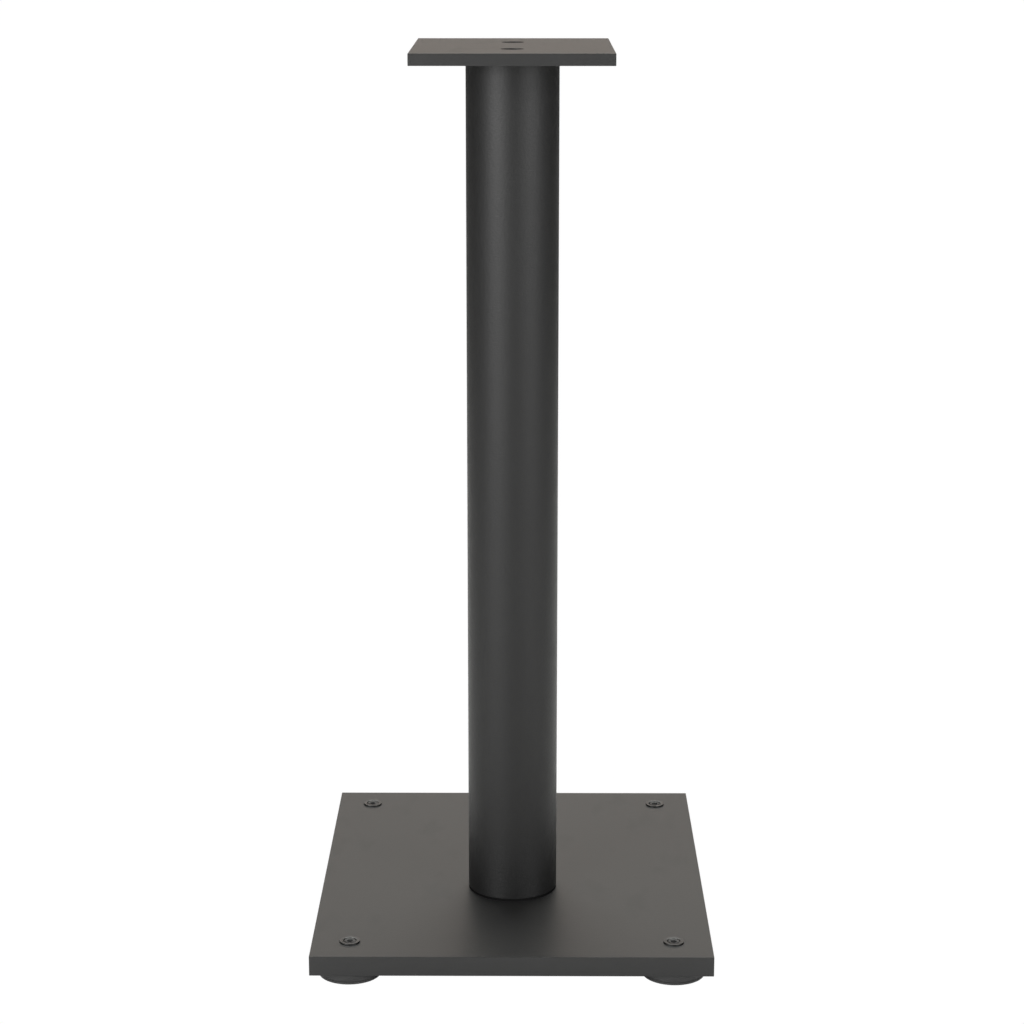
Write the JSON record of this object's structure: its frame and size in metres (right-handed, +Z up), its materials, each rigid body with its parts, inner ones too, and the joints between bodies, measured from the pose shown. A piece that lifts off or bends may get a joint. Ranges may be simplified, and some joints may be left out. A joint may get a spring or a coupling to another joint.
{
  "type": "speaker stand",
  "caption": "Floor stand for a bookshelf speaker: flat rectangular base on levelling feet, round column, small flat top plate with recessed fixing holes.",
  "frame": {"origin": "on the floor, under the middle of the base plate", "axes": "+Z up, +X to the right seen from the front, front at -Y; the column stands 31.2 mm nearer the front than the origin"},
  "size_m": [0.2646, 0.3128, 0.6],
  "materials": {
    "plate_paint": "satin black powder coat",
    "tube_paint": "fine-textured satin black powder coat",
    "gasket_rubber": "matt",
    "spigot_steel": "turned",
    "black_fastener": "black oxide",
    "zinc_fastener": "zinc plated",
    "bush_black": "satin black plating",
    "stud_black": "black oxide",
    "foot_paint": "satin black",
    "sole_rubber": "matt",
    "spring_steel": "phosphated"
  },
  "bodies": {
    "stand": {"base_plate": "plate_paint", "column_tube": "tube_paint", "column_gasket": "gasket_rubber", "top_plate": "plate_paint", "base_spigot": "spigot_steel", "top_spigot": "spigot_steel", "base_spigot_screws": "black_fastener", "top_spigot_screws": "black_fastener", "tie_rod": "zinc_fastener", "tie_rod_washer": "zinc_fastener", "tie_rod_nut": "zinc_fastener", "bush_front_left": "bush_black", "bush_front_right": "bush_black", "bush_rear_left": "bush_black", "bush_rear_right": "bush_black"},
    "foot_front_left": {"foot_disc_front_left": "foot_paint", "foot_sole_front_left": "sole_rubber", "retaining_ring_front_left": "spring_steel"},
    "screw_front_left": {"stud_front_left": "stud_black"},
    "foot_front_right": {"foot_disc_front_right": "foot_paint", "foot_sole_front_right": "sole_rubber", "retaining_ring_front_right": "spring_steel"},
    "screw_front_right": {"stud_front_right": "stud_black"},
    "foot_rear_left": {"foot_disc_rear_left": "foot_paint", "foot_sole_rear_left": "sole_rubber", "retaining_ring_rear_left": "spring_steel"},
    "screw_rear_left": {"stud_rear_left": "stud_black"},
    "foot_rear_right": {"foot_disc_rear_right": "foot_paint", "foot_sole_rear_right": "sole_rubber", "retaining_ring_rear_right": "spring_steel"},
    "screw_rear_right": {"stud_rear_right": "stud_black"}
  },
  "joints": [
    {"name": "front_left_foot_height", "type": "slide", "parent": "stand", "child": "foot_front_left", "axis": [0, 0, -1], "range_m": [0, 0.008]},
    {"name": "front_left_stud_turn", "type": "hinge", "parent": "foot_front_left", "child": "screw_front_left", "pos_m": [-0.1071, -0.1312, 0.0034], "axis": [0, 0, -1], "range_deg": [0, 2304.1]},
    {"name": "front_right_foot_height", "type": "slide", "parent": "stand", "child": "foot_front_right", "axis": [0, 0, -1], "range_m": [0, 0.008]},
    {"name": "front_right_stud_turn", "type": "hinge", "parent": "foot_front_right", "child": "screw_front_right", "pos_m": [0.1071, -0.1312, 0.0034], "axis": [0, 0, -1], "range_deg": [0, 2304.1]},
    {"name": "rear_left_foot_height", "type": "slide", "parent": "stand", "child": "foot_rear_left", "axis": [0, 0, -1], "range_m": [0, 0.008]},
    {"name": "rear_left_stud_turn", "type": "hinge", "parent": "foot_rear_left", "child": "screw_rear_left", "pos_m": [-0.1071, 0.1312, 0.0034], "axis": [0, 0, -1], "range_deg": [0, 2304.1]},
    {"name": "rear_right_foot_height", "type": "slide", "parent": "stand", "child": "foot_rear_right", "axis": [0, 0, -1], "range_m": [0, 0.008]},
    {"name": "rear_right_stud_turn", "type": "hinge", "parent": "foot_rear_right", "child": "screw_rear_right", "pos_m": [0.1071, 0.1312, 0.0034], "axis": [0, 0, -1], "range_deg": [0, 2304.1]}
  ],
  "couplings": [
    {"joint": "front_left_stud_turn", "follows": "front_left_foot_height", "rad_per_m": 5026.5},
    {"joint": "front_right_stud_turn", "follows": "front_right_foot_height", "rad_per_m": 5026.5},
    {"joint": "rear_left_stud_turn", "follows": "rear_left_foot_height", "rad_per_m": 5026.5},
    {"joint": "rear_right_stud_turn", "follows": "rear_right_foot_height", "rad_per_m": 5026.5}
  ]
}
